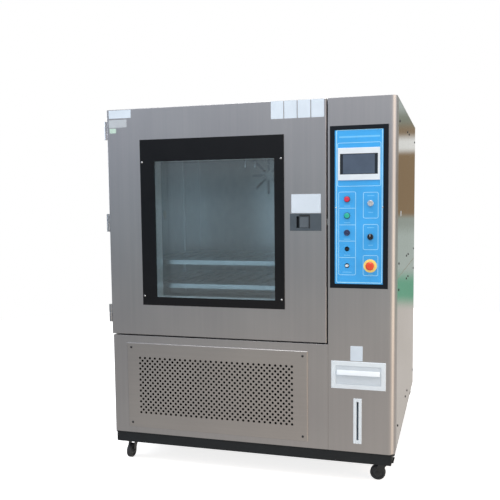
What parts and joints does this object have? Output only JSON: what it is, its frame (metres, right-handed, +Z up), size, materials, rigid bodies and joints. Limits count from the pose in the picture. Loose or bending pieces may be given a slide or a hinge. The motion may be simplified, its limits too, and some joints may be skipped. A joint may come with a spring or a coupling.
{
  "type": "environmental test chamber",
  "caption": "Free-standing temperature and humidity test chamber on casters, with a windowed insulated door, control column and vented machine bay.",
  "frame": {"origin": "on the floor, midway across the overall width with the hinges and midway along the cabinet depth", "axes": "+X to the right of a person who faces the door, -Y out of the door towards that person, +Z up"},
  "size_m": [1.491, 1.502, 1.844],
  "materials": {
    "liner_steel": "gloss",
    "galvanised_steel": "satin",
    "frame_paint": "satin",
    "cabinet_steel": "satin",
    "plug_silicone": "matte",
    "caster_zinc": "satin",
    "lamp_glass": "gloss",
    "compressor_paint": "satin",
    "fin_aluminium": "satin",
    "motor_paint": "satin",
    "bezel_black": "matte",
    "panel_blue": "satin",
    "insulation_foam": "matte",
    "gasket_silicone": "matte",
    "housing_white": "satin",
    "gauge_clear": "gloss",
    "button_green": "gloss",
    "hinge_chrome": "polished",
    "bolt_zinc": "satin",
    "latch_grey": "satin",
    "paddle_grey": "satin",
    "screw_black": "satin",
    "service_brass": "satin",
    "button_red": "gloss",
    "screen_dark": "gloss",
    "knob_black": "satin",
    "knob_silver": "satin",
    "polished_steel": "polished",
    "stop_red": "gloss",
    "collar_black": "satin",
    "tank_plastic": "matte",
    "wheel_rubber": "matte",
    "window_black": "gloss",
    "window_glass": "gloss"
  },
  "bodies": {
    "chamber": {"air_baffle": "liner_steel", "air_heater": "galvanised_steel", "base_frame": "frame_paint", "bay_front": "cabinet_steel", "cabinet_wrapper": "cabinet_steel", "cable_port": "liner_steel", "caster_plates": "caster_zinc", "chamber_lamp": "lamp_glass", "chamber_liner": "liner_steel", "column_front": "cabinet_steel", "compressor": "compressor_paint", "condenser": "fin_aluminium", "control_bezel": "bezel_black", "control_plate": "panel_blue", "drawer_frame": "housing_white", "evaporator": "fin_aluminium", "fan_motor": "motor_paint", "gauge_frame": "housing_white", "gauge_tube": "gauge_clear", "hinge_cabinet_leaves": "hinge_chrome", "insulation": "insulation_foam", "latch_keeper": "bolt_zinc", "panel_screws": "screw_black", "rear_panel": "cabinet_steel", "rear_services": "service_brass", "screen_display": "screen_dark", "screen_housing": "housing_white", "shelf_uprights": "liner_steel", "shelves": "liner_steel", "side_access_panels": "polished_steel", "switch_collars": "collar_black", "vent_panel": "cabinet_steel", "water_tank": "tank_plastic"},
    "door": {"door_shell": "cabinet_steel", "door_core": "insulation_foam", "door_inner_panel": "liner_steel", "door_gasket": "gasket_silicone", "window_bezel": "window_black", "window_glass": "window_glass", "hinge_door_leaves": "hinge_chrome", "latch_housing": "latch_grey"},
    "latch_paddle": {"latch_paddle": "paddle_grey"},
    "latch_bolt": {"latch_bolt": "bolt_zinc"},
    "water_drawer": {"water_drawer": "housing_white"},
    "red_button": {"red_button": "button_red"},
    "green_button": {"green_button": "button_green"},
    "selector_upper": {"selector_upper": "knob_silver"},
    "selector_lower": {"selector_lower": "knob_black"},
    "stop_button": {"stop_button": "stop_red"},
    "fan_wheel": {"fan_wheel": "galvanised_steel"},
    "condenser_fan": {"condenser_fan": "motor_paint"},
    "cable_plug": {"cable_plug": "plug_silicone"},
    "fork_front_left": {"fork_front_left": "caster_zinc"},
    "fork_front_right": {"fork_front_right": "caster_zinc"},
    "fork_rear_left": {"fork_rear_left": "caster_zinc"},
    "fork_rear_right": {"fork_rear_right": "caster_zinc"},
    "wheel_front_left": {"wheel_front_left": "wheel_rubber"},
    "wheel_front_right": {"wheel_front_right": "wheel_rubber"},
    "wheel_rear_left": {"wheel_rear_left": "wheel_rubber"},
    "wheel_rear_right": {"wheel_rear_right": "wheel_rubber"}
  },
  "joints": [
    {"name": "door_hinge", "type": "hinge", "parent": "chamber", "child": "door", "pos_m": [-0.734, -0.706, 0.6844], "axis": [0, 0, -1], "range_deg": [0, 120]},
    {"name": "latch_pull", "type": "hinge", "parent": "door", "child": "latch_paddle", "pos_m": [0.3299, -0.717, 1.2663], "axis": [0, 0, 1], "range_deg": [0, 35], "stiffness_Nm_per_rad": 0.4},
    {"name": "latch_bolt_slide", "type": "slide", "parent": "door", "child": "latch_bolt", "axis": [1, 0, 0], "range_m": [-0.014, 0]},
    {"name": "drawer_slide", "type": "slide", "parent": "chamber", "child": "water_drawer", "axis": [0, -1, 0], "range_m": [0, 0.15]},
    {"name": "red_press", "type": "slide", "parent": "chamber", "child": "red_button", "axis": [0, 1, 0], "range_m": [0, 0.004], "stiffness_N_per_m": 300},
    {"name": "green_press", "type": "slide", "parent": "chamber", "child": "green_button", "axis": [0, 1, 0], "range_m": [0, 0.004], "stiffness_N_per_m": 300},
    {"name": "selector_upper_turn", "type": "hinge", "parent": "chamber", "child": "selector_upper", "pos_m": [0.6261, -0.728, 1.353], "axis": [0, -1, 0], "range_deg": [-45, 45]},
    {"name": "selector_lower_turn", "type": "hinge", "parent": "chamber", "child": "selector_lower", "pos_m": [0.6261, -0.728, 1.197], "axis": [0, -1, 0], "range_deg": [-45, 45]},
    {"name": "stop_press", "type": "slide", "parent": "chamber", "child": "stop_button", "axis": [0, 1, 0], "range_m": [0, 0.006]},
    {"name": "fan_spin", "type": "hinge", "parent": "chamber", "child": "fan_wheel", "pos_m": [-0.1471, 0.514, 1.5404], "axis": [0, 1, 0], "continuous": true},
    {"name": "condenser_fan_spin", "type": "hinge", "parent": "chamber", "child": "condenser_fan", "pos_m": [-0.086, -0.53, 0.349], "axis": [0, 1, 0], "continuous": true},
    {"name": "plug_slide", "type": "slide", "parent": "chamber", "child": "cable_plug", "axis": [-1, 0, 0], "range_m": [0, 0.12]},
    {"name": "swivel_front_left", "type": "hinge", "parent": "chamber", "child": "fork_front_left", "pos_m": [-0.659, -0.629, 0.0927], "axis": [0, 0, 1], "continuous": true},
    {"name": "roll_front_left", "type": "hinge", "parent": "fork_front_left", "child": "wheel_front_left", "pos_m": [-0.659, -0.659, 0.0375], "axis": [1, 0, 0], "continuous": true},
    {"name": "swivel_front_right", "type": "hinge", "parent": "chamber", "child": "fork_front_right", "pos_m": [0.687, -0.629, 0.0927], "axis": [0, 0, 1], "continuous": true},
    {"name": "roll_front_right", "type": "hinge", "parent": "fork_front_right", "child": "wheel_front_right", "pos_m": [0.657, -0.629, 0.0375], "axis": [0, -1, 0], "continuous": true},
    {"name": "swivel_rear_left", "type": "hinge", "parent": "chamber", "child": "fork_rear_left", "pos_m": [-0.659, 0.629, 0.0927], "axis": [0, 0, 1], "continuous": true},
    {"name": "roll_rear_left", "type": "hinge", "parent": "fork_rear_left", "child": "wheel_rear_left", "pos_m": [-0.659, 0.659, 0.0375], "axis": [-1, 0, 0], "continuous": true},
    {"name": "swivel_rear_right", "type": "hinge", "parent": "chamber", "child": "fork_rear_right", "pos_m": [0.687, 0.629, 0.0927], "axis": [0, 0, 1], "continuous": true},
    {"name": "roll_rear_right", "type": "hinge", "parent": "fork_rear_right", "child": "wheel_rear_right", "pos_m": [0.687, 0.659, 0.0375], "axis": [-1, 0, 0], "continuous": true}
  ],
  "couplings": [
    {"joint": "latch_bolt_slide", "follows": "latch_pull", "m_per_rad": -0.0229}
  ]
}
